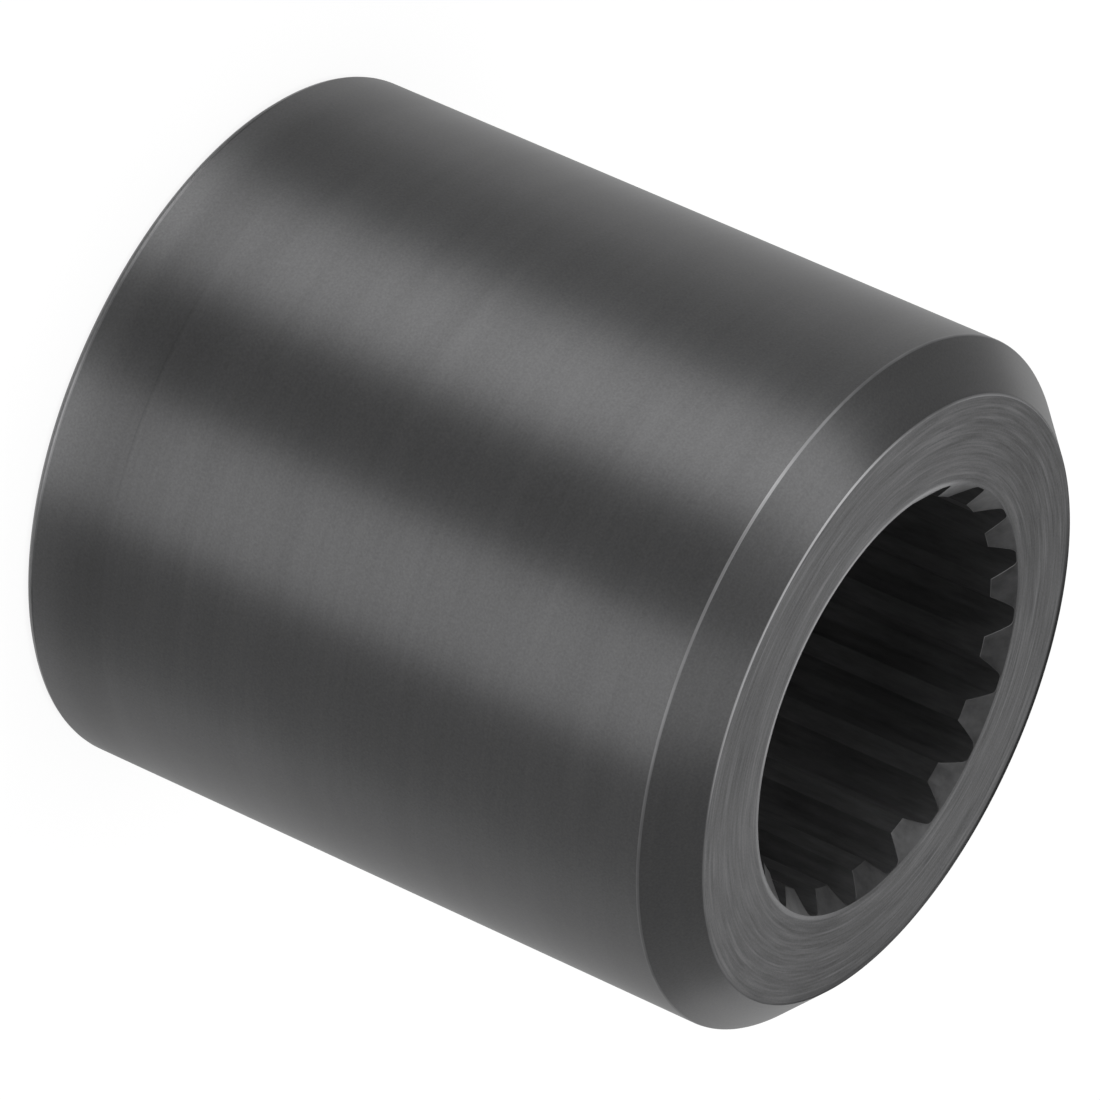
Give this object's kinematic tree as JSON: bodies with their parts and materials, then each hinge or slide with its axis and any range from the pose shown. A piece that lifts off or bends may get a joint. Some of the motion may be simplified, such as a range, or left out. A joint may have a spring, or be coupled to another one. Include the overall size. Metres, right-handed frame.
{
  "type": "spline coupling",
  "caption": "Cylindrical steel sleeve with an internal spline from end to end, bevelled bore mouths and a wide chamfer round one end. It joins splined shafts in line.",
  "frame": {"origin": "centre of the plain end face, on which the sleeve stands", "axes": "+Z along the bore, up to the end with the wide chamfer; +X through the middle of one spline groove"},
  "size_m": [0.0486, 0.0484, 0.052],
  "materials": {
    "black_oxide_steel": "black oxide over fine turning marks, satin"
  },
  "bodies": {
    "root": {"coupling_sleeve": "black_oxide_steel"}
  },
  "joints": []
}
